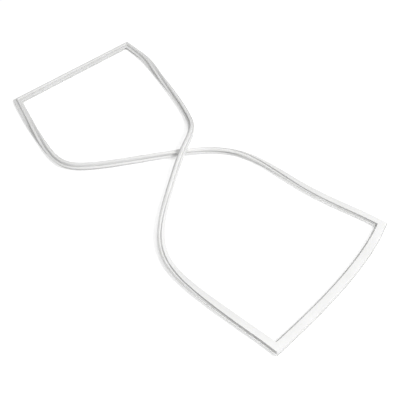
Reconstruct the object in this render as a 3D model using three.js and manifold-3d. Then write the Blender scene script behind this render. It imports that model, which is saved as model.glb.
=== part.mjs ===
// Refrigerator door gasket: one welded loop of hollow soft PVC with four magnetic strips in its
// pocket, lying twisted into a figure of eight. Millimetres, +Z up, long axis along X.
import * as THREE from 'three';
import { NURBSCurve } from 'three/addons/curves/NURBSCurve.js';
import { mergeVertices } from 'three/addons/utils/BufferGeometryUtils.js';
import Module from 'manifold-3d';

// Section, looked at along the extrusion: u points out of the loop, v from the sealing face to the dart.
const faceWidth = 20;          // sealing face, a little wider than the magnet pocket behind it
const faceThick = 1.6;         // edges of the sealing face where they stand out past the pocket
const faceEdge = 0.6;          // bevel along both edges of the sealing face
const skin = 1;                // wall of the magnet pocket and of the bellows
const neckWidth = 13;          // bellows where it leaves the pocket
const neckRise = 1.2;          // from the back of the pocket up to the neck
const foldWidth = 23;          // bellows at its widest
const foldRise = 2.6;          // from the neck up to the fold
const rootWidth = 18;          // bellows where it joins the base flange
const rootRise = 2.6;          // from the fold up to the base flange
const flangeThick = 1.6;
const flangeOut = 13.6;        // flat of the flange toward the outside
const flangeIn = 12.6;         // flat of the flange toward the inside
const lipThick = 1;
const lipFlare = 1.2;          // how far a lip leans away from the flange
const outerLipDrop = 4.6;      // outer lip, from the top of the flange to its tip
const innerLipDrop = 2.8;      // inner lip, likewise
const lipShoulder = 0.5;       // bevel where a lip leaves the flange
const stemWidth = 2.8;         // dart
const stemRise = 2.2;
const barbWidth = 8.4;
const barbDroop = 0.5;
const dartTipWidth = 1.8;
const dartHeight = 7.3;        // dart, from the flange to the tip

// Magnetic strip and the pocket round it.
const magnetWidth = 13;
const magnetThick = 2.6;
const magnetPlay = 0.3;        // clearance on every side of the strip

// Vent holes through the inner wall, each open to the pocket and to the bellows.
const ventWidth = 3;
const ventFromCorner = 60;
const ventDepth = 6;
const ventLead = 1;            // start of the drill, clear of the widest edge of the face
const ventFacets = 12;

// Plan of the loop as it lies: poles of a cubic spline for each side, corner to corner.
const leftSide = [[-628, -253], [-642, 261]];
const rightSide = [[646, -248], [652, -80], [652, 100], [608, 261]];
const overSide = [
  [-642, 261], [-500, 260], [-465, 245], [-65, 155], [-15, 35], [190, -280], [355, -305], [590, -255],
  [646, -248],
];
const underSide = [
  [-628, -253], [-590, -262], [-290, -322], [-185, -295], [-30, 5], [105, 200], [380, 190], [525, 245],
  [608, 261],
];
const weldRun = 26;            // straight, untwisted length beside each mitre

// Each long side turns over by two quarter turns, the first and the second between these distances
// from its left corner and, for the last value, from its right corner.
const overTurns = [30, 430, 800, 30];
const underTurns = [30, 430, 480, 30];
const crossingGap = 1.2;       // between the two long sides where one passes over the other
const crossingSpan = 210;      // from the crossing to where the upper side is back on the ground

// Fineness of the sweep: longest step along a side, sharpest bend and largest roll in one step.
const stepLength = 75;
const stepBend = 10;
const stepRoll = 8.5;
const samples = 600;

const clearWidth = magnetWidth + 2 * magnetPlay;
const clearPocket = magnetThick + 2 * magnetPlay;
const pocketWidth = clearWidth + 2 * skin;
const pocketHeight = clearPocket + 2 * skin;
const neckLevel = pocketHeight + neckRise;
const foldLevel = neckLevel + foldRise;
const flangeLevel = foldLevel + rootRise;
const flangeTop = flangeLevel + flangeThick;
const dartTop = flangeTop + dartHeight;
const rollLevel = flangeTop / 2;

// Flange, lip and bellows of one side, from the sealing face up to the dart tip.
function halfOutline(flange, lipDrop) {
  return [
    [faceWidth / 2 - faceEdge, 0],
    [faceWidth / 2, faceEdge],
    [faceWidth / 2, faceThick],
    [pocketWidth / 2, faceThick],
    [pocketWidth / 2, pocketHeight],
    [neckWidth / 2, neckLevel],
    [foldWidth / 2, foldLevel],
    [rootWidth / 2, flangeLevel],
    [flange, flangeLevel],
    [flange + lipFlare - lipShoulder, flangeTop - lipDrop],
    [flange + lipFlare - lipShoulder + lipThick, flangeTop - lipDrop],
    [flange + lipThick, flangeTop - lipShoulder],
    [flange + lipThick - lipShoulder, flangeTop],
    [stemWidth / 2, flangeTop],
    [stemWidth / 2, flangeTop + stemRise],
    [barbWidth / 2, flangeTop + stemRise - barbDroop],
    [dartTipWidth / 2, dartTop],
  ];
}

const mirrored = (points) => points.map(([u, v]) => [-u, v]).reverse();
const outline = [...halfOutline(flangeOut, outerLipDrop), ...mirrored(halfOutline(flangeIn, innerLipDrop))];

const halfChamber = [
  [neckWidth / 2 - skin, pocketHeight],
  [neckWidth / 2 - skin, neckLevel + skin / 2],
  [foldWidth / 2 - skin * Math.SQRT2, foldLevel],
  [rootWidth / 2 - skin, flangeLevel],
];
const chamber = [...halfChamber, ...mirrored(halfChamber)];

function box(width, from, to) {
  return [[-width / 2, from], [width / 2, from], [width / 2, to], [-width / 2, to]];
}
const pocket = box(clearWidth, skin, skin + clearPocket);
const magnet = box(magnetWidth, skin + magnetPlay, skin + magnetPlay + magnetThick);

const ease = (x) => THREE.MathUtils.smoothstep(x, 0, 1);

// Reach of the section below (sign -1) or above (sign 1) its roll axis once it has rolled.
function reach(roll, sideways, sign) {
  const heights = outline.map(([u, v]) => (v - rollLevel) * Math.cos(roll) + sideways * u * Math.sin(roll));
  return Math.max(...heights.map((h) => sign * h));
}

// One side of the loop. outwards is 1 where the outside of the loop lies to the left of the travel
// and -1 where it lies to the right, before any roll.
function makeSide(poles, outwards, rollAt) {
  const corners = poles.map(([x, y]) => new THREE.Vector3(x, y, 0));
  const last = corners.length - 1;
  const start = corners[0].clone();
  const end = corners[last].clone();
  const leave = corners[1].clone().sub(start).normalize();
  const arrive = end.clone().sub(corners[last - 1]).normalize();
  corners[0].addScaledVector(leave, weldRun);
  corners[last].addScaledVector(arrive, -weldRun);
  const degree = Math.min(3, last);
  const inner = Array.from({ length: last - degree }, (_, i) => (i + 1) / (last - degree + 1));
  const knots = [...Array(degree + 1).fill(0), ...inner, ...Array(degree + 1).fill(1)];
  const curve = new NURBSCurve(degree, knots, corners.map((p) => new THREE.Vector4(p.x, p.y, 0, 1)));
  curve.arcLengthDivisions = samples;
  const bent = curve.getLength();
  const length = bent + 2 * weldRun;

  function onPlan(s) {
    if (s <= weldRun) return start.clone().addScaledVector(leave, s);
    if (s >= length - weldRun) return end.clone().addScaledVector(arrive, s - length);
    return curve.getPointAt((s - weldRun) / bent);
  }
  return { length, onPlan, outwards, roll: (s) => rollAt(s, length), lift: () => 0 };
}

function centre(side, s) {
  const point = side.onPlan(s);
  const roll = side.roll(s);
  point.z = reach(roll, side.outwards, -1) + side.lift(s);
  return point;
}

// Roll axis point and the directions of u and v at a distance along a side.
function frameAt(side, s) {
  const before = Math.max(s - 0.5, 0);
  const after = Math.min(s + 0.5, side.length);
  const along = centre(side, after).sub(centre(side, before)).normalize();
  const left = new THREE.Vector3(0, 0, 1).cross(along).normalize();
  const roll = side.roll(s);
  const up = along.clone().cross(left).applyAxisAngle(along, roll);
  const out = left.clone().multiplyScalar(side.outwards).applyAxisAngle(along, roll);
  return { point: centre(side, s), out, up, along };
}

// Distances of the stations between the two weld runs, closer together in bends and turns.
function stationsOf(side) {
  const first = weldRun;
  const last = side.length - weldRun;
  const cost = [0];
  for (let i = 1; i <= samples; i++) {
    const a = first + ((last - first) * (i - 1)) / samples;
    const b = first + ((last - first) * i) / samples;
    const here = frameAt(side, a);
    const there = frameAt(side, b);
    const bend = THREE.MathUtils.radToDeg(here.along.angleTo(there.along)) / stepBend;
    const roll = THREE.MathUtils.radToDeg(Math.abs(side.roll(b) - side.roll(a))) / stepRoll;
    cost.push(cost[i - 1] + Math.hypot((b - a) / stepLength, bend, roll));
  }
  const count = Math.max(1, Math.ceil(cost[samples]));
  const places = [first];
  let i = 0;
  for (let n = 1; n < count; n++) {
    const goal = (cost[samples] * n) / count;
    while (cost[i + 1] < goal) i++;
    const part = (goal - cost[i]) / (cost[i + 1] - cost[i]);
    places.push(first + ((last - first) * (i + part)) / samples);
  }
  return [...places, last];
}

// Mitre between the end of one side and the start of the next.
function mitre(before, after) {
  const out = before.out.clone().add(after.out).normalize();
  out.divideScalar(out.dot(before.out));
  return { point: before.point, out, up: before.up };
}

const turnOver = (turns) => (s, length) => (Math.PI / 2)
  * (ease((s - turns[0]) / (turns[1] - turns[0])) + ease((s - turns[2]) / (length - turns[3] - turns[2])));

const left = makeSide(leftSide, 1, () => 0);
const right = makeSide(rightSide, 1, () => Math.PI);
const over = makeSide(overSide, 1, turnOver(overTurns));
const under = makeSide(underSide, -1, turnOver(underTurns));

// Where the two long sides cross in plan, as distances along each of them.
function findCrossing(a, b) {
  let best = { gap: Infinity };
  for (let i = 1; i < samples; i++) {
    const s = (a.length * i) / samples;
    const p = a.onPlan(s);
    for (let j = 1; j < samples; j++) {
      const t = (b.length * j) / samples;
      const q = b.onPlan(t);
      const gap = p.distanceToSquared(q);
      if (gap < best.gap) best = { gap, s, t };
    }
  }
  return best;
}
const crossing = findCrossing(over, under);
const underRoll = under.roll(crossing.t);
const passHeight = reach(underRoll, -1, -1) + reach(underRoll, -1, 1) + crossingGap;
over.lift = (s) => passHeight * ease(1 - Math.abs(s - crossing.s) / crossingSpan);

// The loop runs left side, upper long side, right side, and the lower long side back.
const forward = (side) => stationsOf(side).map((s) => frameAt(side, s));
const sides = {
  left: forward(left),
  back: forward(over),
  right: forward(right),
  front: forward(under).reverse(),
};
const atStart = (side) => frameAt(side, 0);
const atEnd = (side) => frameAt(side, side.length);
const loop = [
  mitre(atStart(under), atStart(left)), ...sides.left,
  mitre(atEnd(left), atStart(over)), ...sides.back,
  mitre(atEnd(over), atStart(right)), ...sides.right,
  mitre(atEnd(right), atEnd(under)), ...sides.front,
];

// Sweeps a section through stations; a closed sweep joins its end to its start, others get caps.
function sweep(section, stations, closed) {
  const positions = [];
  for (const { point, out, up } of stations) {
    for (const [u, v] of section) {
      const p = point.clone().addScaledVector(out, u).addScaledVector(up, v - rollLevel);
      positions.push(p.x, p.y, p.z);
    }
  }
  const n = section.length;
  const index = [];
  const steps = closed ? stations.length : stations.length - 1;
  for (let i = 0; i < steps; i++) {
    const j = (i + 1) % stations.length;
    for (let k = 0; k < n; k++) {
      const l = (k + 1) % n;
      index.push(i * n + k, i * n + l, j * n + l, i * n + k, j * n + l, j * n + k);
    }
  }
  if (!closed) {
    const end = (stations.length - 1) * n;
    for (let k = 1; k < n - 1; k++) index.push(0, k + 1, k, end, end + k, end + k + 1);
  }
  const geometry = new THREE.BufferGeometry();
  geometry.setAttribute('position', new THREE.Float32BufferAttribute(positions, 3));
  geometry.setIndex(index);
  return geometry;
}

// Round cutter across the inner wall at the level of the pocket's back.
function ventCutter(side, s) {
  const { point, out, up } = frameAt(side, s);
  const shape = new THREE.CylinderGeometry(ventWidth / 2, ventWidth / 2, ventDepth, ventFacets);
  shape.deleteAttribute('uv');
  shape.deleteAttribute('normal');
  const inwardFace = ventDepth / 2 - faceWidth / 2 - ventLead;
  const middle = point.clone().addScaledVector(out, inwardFace).addScaledVector(up, pocketHeight - rollLevel);
  const across = new THREE.Matrix4().makeBasis(up, out, up.clone().cross(out)).setPosition(middle);
  return mergeVertices(shape.applyMatrix4(across), 1e-4);
}

const wasm = await Module();
wasm.setup();

function solid(geometry) {
  return new wasm.Manifold(new wasm.Mesh({
    numProp: 3,
    vertProperties: new Float32Array(geometry.attributes.position.array),
    triVerts: new Uint32Array(geometry.index.array),
  }));
}

function toGeometry(body) {
  const mesh = body.getMesh();
  const geometry = new THREE.BufferGeometry();
  geometry.setAttribute('position', new THREE.BufferAttribute(Float32Array.from(mesh.vertProperties), 3));
  geometry.setIndex(new THREE.BufferAttribute(Uint32Array.from(mesh.triVerts), 1));
  return geometry;
}

let body = solid(sweep(outline, loop, true))
  .subtract(solid(sweep(chamber, loop, true)))
  .subtract(solid(sweep(pocket, loop, true)));
for (const side of [left, right]) {
  for (const s of [ventFromCorner, side.length - ventFromCorner]) {
    body = body.subtract(solid(ventCutter(side, s)));
  }
}

const pvc = new THREE.MeshStandardMaterial({ color: '#f4f4f2', roughness: 0.42, metalness: 0 });
const ferrite = new THREE.MeshStandardMaterial({ color: '#3a3431', roughness: 0.8, metalness: 0 });

// The plan above is moved so that the middle of the loop's box comes to the origin.
const laid = sweep(outline, loop, true);
laid.computeBoundingBox();
const middle = laid.boundingBox.getCenter(new THREE.Vector3());

function named(name, geometry, material) {
  geometry.translate(-middle.x, -middle.y, 0);
  const mesh = new THREE.Mesh(geometry, material);
  mesh.name = name;
  return mesh;
}

const part = new THREE.Group();
part.name = 'refrigerator_door_gasket';
part.add(named('gasket', toGeometry(body), pvc));
for (const [place, stations] of Object.entries(sides)) {
  part.add(named(`magnet_${place}`, sweep(magnet, stations, false), ferrite));
}
export default part;
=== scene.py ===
import math

import bpy
from mathutils import Matrix, Vector


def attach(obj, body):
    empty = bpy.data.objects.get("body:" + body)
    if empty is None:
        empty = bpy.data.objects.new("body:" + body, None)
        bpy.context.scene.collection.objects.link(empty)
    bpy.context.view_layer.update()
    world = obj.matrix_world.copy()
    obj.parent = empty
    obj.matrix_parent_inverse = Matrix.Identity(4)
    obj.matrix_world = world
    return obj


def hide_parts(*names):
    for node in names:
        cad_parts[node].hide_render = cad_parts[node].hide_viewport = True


# Refrigerator door gasket: one skin that follows the profile round the loop, over the four strips.
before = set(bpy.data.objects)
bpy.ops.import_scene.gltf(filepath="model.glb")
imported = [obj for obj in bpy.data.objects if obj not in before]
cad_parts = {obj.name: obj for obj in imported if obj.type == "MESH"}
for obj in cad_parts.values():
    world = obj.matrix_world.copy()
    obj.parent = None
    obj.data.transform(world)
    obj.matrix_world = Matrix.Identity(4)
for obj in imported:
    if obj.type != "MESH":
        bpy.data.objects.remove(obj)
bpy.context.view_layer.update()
MM = 0.001

# Section of the extrusion in millimetres: u out of the loop, v from the sealing face to the dart.
FACE_WIDTH = 20
FACE_THICK = 1.6
FACE_EDGE = 0.6
NECK_WIDTH = 13
NECK_RISE = 1.2
FOLD_WIDTH = 23
FOLD_RISE = 2.6
ROOT_WIDTH = 18
ROOT_RISE = 2.6
FLANGE_THICK = 1.6
FLANGE_OUT = 13.6
FLANGE_IN = 12.6
LIP_THICK = 1
LIP_FLARE = 1.2
OUTER_LIP_DROP = 4.6
INNER_LIP_DROP = 2.8
LIP_SHOULDER = 0.5
STEM_WIDTH = 2.8
STEM_RISE = 2.2
BARB_WIDTH = 8.4
BARB_DROOP = 0.5
DART_TIP_WIDTH = 1.8
DART_HEIGHT = 7.3
POCKET_WIDTH = 15.6
POCKET_HEIGHT = 5.2

NECK_LEVEL = POCKET_HEIGHT + NECK_RISE
FOLD_LEVEL = NECK_LEVEL + FOLD_RISE
FLANGE_LEVEL = FOLD_LEVEL + ROOT_RISE
FLANGE_TOP = FLANGE_LEVEL + FLANGE_THICK
DART_TOP = FLANGE_TOP + DART_HEIGHT
ROLL_LEVEL = FLANGE_TOP / 2

# Plan of the loop: poles of a cubic spline for each side, corner to corner, in millimetres.
LEFT_SIDE = [(-628, -253), (-642, 261)]
RIGHT_SIDE = [(646, -248), (652, -80), (652, 100), (608, 261)]
OVER_SIDE = [
    (-642, 261), (-500, 260), (-465, 245), (-65, 155), (-15, 35), (190, -280), (355, -305), (590, -255),
    (646, -248),
]
UNDER_SIDE = [
    (-628, -253), (-590, -262), (-290, -322), (-185, -295), (-30, 5), (105, 200), (380, 190), (525, 245),
    (608, 261),
]
WELD_RUN = 26       # straight, untwisted length beside each mitre

# Each long side turns over by two quarter turns: from and to for the first, then from for the second,
# which ends this far before the right corner. All are distances from the left corner but the last.
OVER_TURNS = (30, 430, 800, 30)
UNDER_TURNS = (30, 430, 480, 30)
CROSSING_GAP = 0.75
CROSSING_SPAN = 210
VENT_WIDTH = 3
VENT_FROM_CORNER = 60
VENT_DEPTH = 7
VENT_INSET = 0.5    # middle of the drill, from the edge of the sealing face
VENT_FACETS = 24

STEP = 7            # length of extrusion between two rings of the skin
STRAIGHT_STEPS = 8  # rings along a side without a bend
OVERCUT = 30        # spare length past each corner, trimmed off at the mitre
ROUNDING = 3        # faces in each rounded edge of the section
EDGE_SHARE = 0.45   # most of an edge that one rounding may take
TRACK_STEPS = 1500  # steps along a spline in which its length is measured
SEAM_REACH = 3e-5   # farthest apart that two points of a seam are merged
SMOOTH_BELOW = 32   # degrees between two faces that are shaded as one surface


def half_outline(flange, lip_drop):
    """Corners of one side of the section, each with its edge radius, from the sealing face to the dart."""
    tip = FLANGE_TOP - lip_drop
    lean = flange + LIP_FLARE - LIP_SHOULDER
    return [
        (FACE_WIDTH / 2 - FACE_EDGE, 0, 0.4),
        (FACE_WIDTH / 2, FACE_EDGE, 0.3),
        (FACE_WIDTH / 2, FACE_THICK, 0.3),
        (POCKET_WIDTH / 2, FACE_THICK, 0.3),
        (POCKET_WIDTH / 2, POCKET_HEIGHT, 0.6),
        (NECK_WIDTH / 2, NECK_LEVEL, 0.8),
        (FOLD_WIDTH / 2, FOLD_LEVEL, 1.0),
        (ROOT_WIDTH / 2, FLANGE_LEVEL, 0.5),
        (flange, FLANGE_LEVEL, 0.4),
        (lean, tip, 0.4),
        (lean + LIP_THICK, tip, 0.4),
        (flange + LIP_THICK, FLANGE_TOP - LIP_SHOULDER, 0.4),
        (flange + LIP_THICK - LIP_SHOULDER, FLANGE_TOP, 0.3),
        (STEM_WIDTH / 2, FLANGE_TOP, 0.4),
        (STEM_WIDTH / 2, FLANGE_TOP + STEM_RISE, 0.2),
        (BARB_WIDTH / 2, FLANGE_TOP + STEM_RISE - BARB_DROOP, 0.35),
        (DART_TIP_WIDTH / 2, DART_TOP, 0.5),
    ]


OUTLINE = half_outline(FLANGE_OUT, OUTER_LIP_DROP)
OUTLINE += [(-u, v, r) for u, v, r in reversed(half_outline(FLANGE_IN, INNER_LIP_DROP))]


def rounded_section():
    """The section with every corner turned into a small arc."""
    points = []
    for i, (u, v, radius) in enumerate(OUTLINE):
        here = Vector((u, v))
        before = Vector(OUTLINE[i - 1][:2]) - here
        after = Vector(OUTLINE[(i + 1) % len(OUTLINE)][:2]) - here
        corner = before.angle(after)
        room = EDGE_SHARE * min(before.length, after.length)
        reach = min(radius / math.tan(corner / 2), room)
        start = here + before.normalized() * reach
        end = here + after.normalized() * reach
        for k in range(ROUNDING + 1):
            t = k / ROUNDING
            points.append(start * (1 - t) ** 2 + here * 2 * t * (1 - t) + end * t ** 2)
    return points


def ease(x):
    """Smooth rise from 0 to 1."""
    x = min(max(x, 0), 1)
    return x * x * (3 - 2 * x)


def reach_of(roll, sideways, sign):
    """How far the rolled section reaches below (-1) or above (1) its roll axis."""
    heights = [(v - ROLL_LEVEL) * math.cos(roll) + sideways * u * math.sin(roll) for u, v, _ in OUTLINE]
    return max(sign * h for h in heights)


def spline_point(poles, degree, t):
    """Point of a clamped uniform B-spline."""
    spans = len(poles) - degree
    knots = [0] * degree + [i / spans for i in range(spans + 1)] + [1] * degree
    k = degree + min(int(t * spans), spans - 1)
    d = [Vector(poles[j + k - degree]) for j in range(degree + 1)]
    for r in range(1, degree + 1):
        for j in range(degree, r - 1, -1):
            low = knots[j + k - degree]
            a = (t - low) / (knots[j + 1 + k - r] - low)
            d[j] = d[j - 1] * (1 - a) + d[j] * a
    return d[degree]


class Side:
    """One length of the extrusion: its plan, roll and lift by the distance from its first corner."""

    def __init__(self, poles, outwards, turns=None, roll=0):
        self.poles = [Vector(p) for p in poles]
        self.start, self.end = self.poles[0].copy(), self.poles[-1].copy()
        self.leave = (self.poles[1] - self.start).normalized()
        self.arrive = (self.end - self.poles[-2]).normalized()
        self.poles[0] = self.start + self.leave * WELD_RUN
        self.poles[-1] = self.end - self.arrive * WELD_RUN
        degree = min(3, len(poles) - 1)
        self.track = [
            spline_point(self.poles, degree, i / TRACK_STEPS) for i in range(TRACK_STEPS + 1)
        ]
        self.marks = [0]
        for a, b in zip(self.track, self.track[1:]):
            self.marks.append(self.marks[-1] + (b - a).length)
        self.bent = self.marks[-1]
        self.length = self.bent + 2 * WELD_RUN
        self.outwards, self.turns, self.still = outwards, turns, roll
        self.lift_at, self.lift_height = 0, 0

    def plan(self, s):
        """Point of the plan at a distance from the first corner, straight on past both corners."""
        if s <= WELD_RUN:
            return self.start + self.leave * s
        if s >= self.length - WELD_RUN:
            return self.end + self.arrive * (s - self.length)
        goal = s - WELD_RUN
        low, high = 0, len(self.marks) - 1
        while high - low > 1:
            mid = (low + high) // 2
            if self.marks[mid] <= goal:
                low = mid
            else:
                high = mid
        part = (goal - self.marks[low]) / (self.marks[high] - self.marks[low])
        return self.track[low].lerp(self.track[high], part)

    def roll(self, s):
        """Angle that the section is turned about the side's line."""
        if self.turns is None:
            return self.still
        a, b, c, d = self.turns
        return math.pi / 2 * (ease((s - a) / (b - a)) + ease((s - c) / (self.length - d - c)))

    def centre(self, s):
        """Point of the roll axis, high enough for the rolled section to lie on the floor."""
        x, y = self.plan(s)
        lift = self.lift_height * ease(1 - abs(s - self.lift_at) / CROSSING_SPAN)
        return Vector((x, y, reach_of(self.roll(s), self.outwards, -1) + lift))


left = Side(LEFT_SIDE, 1)
right = Side(RIGHT_SIDE, 1, roll=math.pi)
over = Side(OVER_SIDE, 1, OVER_TURNS)
under = Side(UNDER_SIDE, -1, UNDER_TURNS)


def find_crossing():
    """Distances along the two long sides to where they cross in plan."""
    best = (1e9, 0, 0)
    for step, window in ((12, None), (1.5, 24)):
        s0, t0 = best[1], best[2]
        lows = (0, 0) if window is None else (s0 - window, t0 - window)
        highs = (over.length, under.length) if window is None else (s0 + window, t0 + window)
        ts = [lows[1] + step * j for j in range(int((highs[1] - lows[1]) / step))]
        tracks = [(t, under.plan(t)) for t in ts]
        for i in range(int((highs[0] - lows[0]) / step)):
            s = lows[0] + step * i
            p = over.plan(s)
            for t, q in tracks:
                best = min(best, ((p - q).length_squared, s, t))
    return best[1], best[2]


over.lift_at, crossing_under = find_crossing()
under_roll = under.roll(crossing_under)
over.lift_height = reach_of(under_roll, -1, -1) + reach_of(under_roll, -1, 1) + CROSSING_GAP


def only(obj):
    """Selects one object alone and makes it the active one."""
    bpy.ops.object.select_all(action="DESELECT")
    obj.select_set(True)
    bpy.context.view_layer.objects.active = obj


def poly_curve(name, points, cyclic=False):
    data = bpy.data.curves.new(name, "CURVE")
    data.dimensions = "3D"
    data.twist_mode = "Z_UP"
    spline = data.splines.new("POLY")
    spline.points.add(len(points) - 1)
    spline.use_cyclic_u = cyclic
    for point, co in zip(spline.points, points):
        point.co = (*co, 1)
    obj = bpy.data.objects.new(name, data)
    bpy.context.collection.objects.link(obj)
    return obj


def extrude_length(name, side):
    """One extruded length with spare ends: the section drawn along the side's line."""
    mirror = -1 if side.outwards > 0 else 1
    die = poly_curve("die_" + name, [(mirror * p.x * MM, (p.y - ROLL_LEVEL) * MM, 0) for p in section], True)
    die.data.dimensions = "2D"
    count = round(side.bent / STEP) if len(side.poles) > 2 else STRAIGHT_STEPS
    places = [-OVERCUT] + [WELD_RUN + side.bent * i / count for i in range(count + 1)]
    places.append(side.length + OVERCUT)
    line = poly_curve(name, [side.centre(s) * MM for s in places])
    for point, s in zip(line.data.splines[0].points, places):
        point.tilt = side.roll(s)
    line.data.bevel_mode = "OBJECT"
    line.data.bevel_object = die
    only(line)
    bpy.ops.object.convert(target="MESH")
    obj = bpy.context.object
    bpy.data.objects.remove(die)
    mesh = obj.data
    around = len(section)
    lengths = [0]
    for a, b in zip(section, section[1:] + section[:1]):
        lengths.append(lengths[-1] + (b - a).length)
    uv = mesh.uv_layers[0]
    uv.name = "skin"
    for face in mesh.polygons:
        ring = [mesh.loops[k].vertex_index % around for k in face.loop_indices]
        wraps = 0 in ring and around - 1 in ring
        for k, j in zip(face.loop_indices, ring):
            row = mesh.loops[k].vertex_index // around
            across = lengths[around] if wraps and j == 0 else lengths[j]
            uv.data[k].uv = (places[row] * MM, across * MM)
    return obj


def mitre_normal(out_a, out_b):
    """Normal of the upright plane through the bisector of two outward directions."""
    bisector = (out_a + out_b).normalized()
    return Vector((-bisector.y, bisector.x, 0))


def trim(obj, corner, normal, keep):
    """Cuts off what lies on the far side of a mitre from the point to keep."""
    side = (Vector((keep.x, keep.y, 0)) - Vector((corner.x, corner.y, 0))).dot(normal)
    only(obj)
    bpy.ops.object.mode_set(mode="EDIT")
    bpy.ops.mesh.select_all(action="SELECT")
    bpy.ops.mesh.bisect(
        plane_co=(corner.x * MM, corner.y * MM, 0), plane_no=normal, use_fill=False,
        clear_inner=side > 0, clear_outer=side < 0, threshold=1e-7,
    )
    bpy.ops.object.mode_set(mode="OBJECT")


def outward(direction):
    """Horizontal direction to the left of the travel."""
    return Vector((-direction.y, direction.x))


section = rounded_section()
lengths = {
    "left": extrude_length("left", left),
    "over": extrude_length("over", over),
    "right": extrude_length("right", right),
    "under": extrude_length("under", under),
}
sides = {"left": left, "over": over, "right": right, "under": under}
# Each corner: where it is, the outward directions of the two sides that meet there, and their names.
corners = [
    (left.start, outward(left.leave), -outward(under.leave), "left", "under"),
    (left.end, outward(left.leave), outward(over.leave), "left", "over"),
    (right.start, -outward(right.leave), -outward(over.arrive), "right", "over"),
    (right.end, -outward(right.arrive), outward(under.arrive), "right", "under"),
]
for corner, out_a, out_b, name_a, name_b in corners:
    normal = mitre_normal(out_a, out_b)
    for name in (name_a, name_b):
        side = sides[name]
        near_start = (side.start - corner).length < (side.end - corner).length
        inside = OVERCUT * 2 if near_start else side.length - OVERCUT * 2
        trim(lengths[name], corner, normal, side.plan(inside))


def drill_vents(obj, side):
    """Breather holes in the inner wall, at the back of the magnet pocket."""
    for s in (VENT_FROM_CORNER, side.length - VENT_FROM_CORNER):
        along = (side.plan(s + 1) - side.plan(s - 1)).normalized()
        out = outward(along) * math.cos(side.roll(s))
        level = side.centre(s).z + (POCKET_HEIGHT - ROLL_LEVEL) * math.cos(side.roll(s))
        place = side.plan(s) - out * (FACE_WIDTH / 2 - VENT_INSET)
        bpy.ops.mesh.primitive_cylinder_add(
            vertices=VENT_FACETS, radius=VENT_WIDTH / 2 * MM, depth=VENT_DEPTH * MM,
            location=(place.x * MM, place.y * MM, level * MM),
            rotation=(math.pi / 2, 0, math.atan2(out.y, out.x) + math.pi / 2),
        )
        drill = bpy.context.object
        only(obj)
        cut = obj.modifiers.new("vent", "BOOLEAN")
        cut.object = drill
        cut.solver = "EXACT"
        cut.operation = "DIFFERENCE"
        bpy.ops.object.modifier_apply(modifier="vent")
        bpy.data.objects.remove(drill)


only(lengths["left"])
for obj in lengths.values():
    obj.select_set(True)
bpy.ops.object.join()
skin = bpy.context.object
skin.name = "gasket_skin"
skin.data.name = "gasket_skin"
bpy.ops.object.mode_set(mode="EDIT")
bpy.ops.mesh.select_all(action="SELECT")
bpy.ops.mesh.remove_doubles(threshold=SEAM_REACH)
bpy.ops.mesh.normals_make_consistent(inside=False)
bpy.ops.object.mode_set(mode="OBJECT")
bpy.ops.object.transform_apply(location=True, rotation=True, scale=True)
drill_vents(skin, left)
drill_vents(skin, right)

# The frame has its origin under the middle of the loop's box, so the skin moves there too.
xs = [v.co.x for v in skin.data.vertices]
ys = [v.co.y for v in skin.data.vertices]
shift = Vector((-(min(xs) + max(xs)) / 2, -(min(ys) + max(ys)) / 2, 0))
skin.data.transform(Matrix.Translation(shift))
bpy.ops.object.shade_smooth_by_angle(angle=math.radians(SMOOTH_BELOW))
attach(skin, "root")
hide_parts("gasket")


def material(name):
    """New material with its node tree and its surface shader."""
    mat = bpy.data.materials.new(name)
    mat.use_nodes = True
    return mat, mat.node_tree, mat.node_tree.nodes["Principled BSDF"]


def node(tree, kind, **inputs):
    """New shader node, with values for inputs whose names have no space or an underscore for it."""
    made = tree.nodes.new(kind)
    for key, value in inputs.items():
        made.inputs[key.replace("_", " ")].default_value = value
    return made


# Soft white PVC, with faint lines along the extrusion and a slightly uneven white.
pvc, tree, shader = material("white_soft_pvc")
shader.inputs["Roughness"].default_value = 0.4
shader.inputs["Subsurface Weight"].default_value = 0.12
shader.inputs["Subsurface Radius"].default_value = (0.004, 0.004, 0.0036)
shader.inputs["IOR"].default_value = 1.5
uv = node(tree, "ShaderNodeUVMap")
uv.uv_map = "skin"
stretch = node(tree, "ShaderNodeMapping")
stretch.inputs["Scale"].default_value = (6, 2600, 1)
lines = node(tree, "ShaderNodeTexNoise", Scale=1.0, Detail=2.0)
tree.links.new(uv.outputs["UV"], stretch.inputs["Vector"])
tree.links.new(stretch.outputs["Vector"], lines.inputs["Vector"])
coords = node(tree, "ShaderNodeTexCoord")
cloud = node(tree, "ShaderNodeTexNoise", Scale=14.0, Detail=3.0)
tree.links.new(coords.outputs["Object"], cloud.inputs["Vector"])
tint = node(tree, "ShaderNodeValToRGB")
tint.color_ramp.elements[0].position = 0.3
tint.color_ramp.elements[0].color = (0.87, 0.87, 0.862, 1)
tint.color_ramp.elements[1].position = 0.75
tint.color_ramp.elements[1].color = (0.92, 0.92, 0.916, 1)
tree.links.new(cloud.outputs["Fac"], tint.inputs["Fac"])
tree.links.new(tint.outputs["Color"], shader.inputs["Base Color"])
bump = node(tree, "ShaderNodeBump", Strength=0.12, Distance=0.0004)
tree.links.new(lines.outputs["Fac"], bump.inputs["Height"])
tree.links.new(bump.outputs["Normal"], shader.inputs["Normal"])
skin.data.materials.clear()
skin.data.materials.append(pvc)

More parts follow.
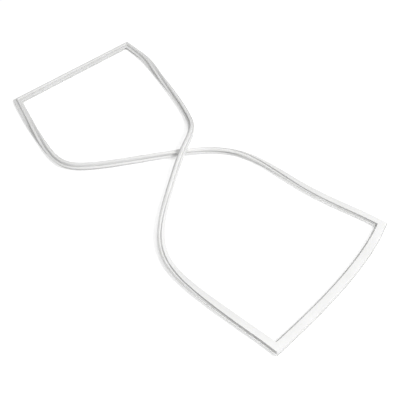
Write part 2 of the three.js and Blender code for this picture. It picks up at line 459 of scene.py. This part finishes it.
# Dark rubber filled with ferrite, for the strips of the frame.
ferrite, tree, shader = material("ferrite_rubber")
shader.inputs["Roughness"].default_value = 0.75
coords = node(tree, "ShaderNodeTexCoord")
grain = node(tree, "ShaderNodeTexNoise", Scale=900.0, Detail=4.0)
tree.links.new(coords.outputs["Object"], grain.inputs["Vector"])
tint = node(tree, "ShaderNodeValToRGB")
tint.color_ramp.elements[0].color = (0.032, 0.026, 0.023, 1)
tint.color_ramp.elements[1].color = (0.075, 0.066, 0.06, 1)
tree.links.new(grain.outputs["Fac"], tint.inputs["Fac"])
tree.links.new(tint.outputs["Color"], shader.inputs["Base Color"])
for name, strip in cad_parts.items():
    if name.startswith("magnet"):
        strip.data.materials.clear()
        strip.data.materials.append(ferrite)

# White floor: it keeps the shadow, and the camera sees it white.
FLOOR_SIZE = 12
FLOOR_GLOW = 0.45
bpy.ops.mesh.primitive_plane_add(size=FLOOR_SIZE, location=(0, 0, 0))
floor = bpy.context.object
floor.name = "floor"
paper, tree, shader = material("white_paper")
shader.inputs["Base Color"].default_value = (0.9, 0.9, 0.9, 1)
shader.inputs["Roughness"].default_value = 0.9
shader.inputs["Specular IOR Level"].default_value = 0.1
path = node(tree, "ShaderNodeLightPath")
seen = node(tree, "ShaderNodeMath")
seen.operation = "MAXIMUM"
tree.links.new(path.outputs["Is Camera Ray"], seen.inputs[0])
tree.links.new(path.outputs["Is Glossy Ray"], seen.inputs[1])
glow = node(tree, "ShaderNodeEmission")
glow.inputs["Color"].default_value = (1, 1, 1, 1)
scale_glow = node(tree, "ShaderNodeMath")
scale_glow.operation = "MULTIPLY"
scale_glow.inputs[1].default_value = FLOOR_GLOW
tree.links.new(seen.outputs[0], scale_glow.inputs[0])
tree.links.new(scale_glow.outputs[0], glow.inputs["Strength"])
both = node(tree, "ShaderNodeAddShader")
tree.links.new(shader.outputs[0], both.inputs[0])
tree.links.new(glow.outputs[0], both.inputs[1])
tree.links.new(both.outputs[0], tree.nodes["Material Output"].inputs["Surface"])
floor.data.materials.append(paper)

# Pale studio: a weak even light, which the camera sees as a white wall.
world = bpy.data.worlds.new("studio")
bpy.context.scene.world = world
world.use_nodes = True
back = world.node_tree.nodes["Background"]
back.inputs["Color"].default_value = (1, 1, 1, 1)
wall = world.node_tree.nodes.new("ShaderNodeMapRange")
wall.inputs["To Min"].default_value = 0.37
wall.inputs["To Max"].default_value = 1.0
sight = world.node_tree.nodes.new("ShaderNodeLightPath")
world.node_tree.links.new(sight.outputs["Is Camera Ray"], wall.inputs["Value"])
world.node_tree.links.new(wall.outputs["Result"], back.inputs["Strength"])


def softbox(name, place, size, power):
    """Round soft lamp that looks at the middle of the object."""
    bpy.ops.object.light_add(type="AREA", location=place)
    lamp = bpy.context.object
    lamp.name = name
    lamp.data.shape = "DISK"
    lamp.data.size = size
    lamp.data.energy = power
    lamp.rotation_euler = (-Vector(place)).to_track_quat("-Z", "Y").to_euler()


softbox("key", (2.2, 0.4, 2.6), 1.0, 56)
softbox("top", (0.1, 0.5, 3.4), 1.2, 21)

SENSOR_WIDTH = 36
IMAGE_WIDTH = 400          # pixels
LENS_IN_PIXELS = 460       # focal length in pixels of that image
CAMERA_PLACE = (0.81986, -0.66456, 1.13169)
LOOKING_DOWN = 52          # degrees
CAMERA_HEADING = 47.39     # degrees
camera_data = bpy.data.cameras.new("camera")
camera = bpy.data.objects.new("camera", camera_data)
bpy.context.collection.objects.link(camera)
camera_data.sensor_width = SENSOR_WIDTH
camera_data.lens = LENS_IN_PIXELS / IMAGE_WIDTH * SENSOR_WIDTH
camera.location = Vector(CAMERA_PLACE) + shift
camera.rotation_euler = (math.radians(90 - LOOKING_DOWN), 0, math.radians(CAMERA_HEADING))
bpy.context.scene.camera = camera
bpy.context.scene.view_settings.view_transform = "Standard"
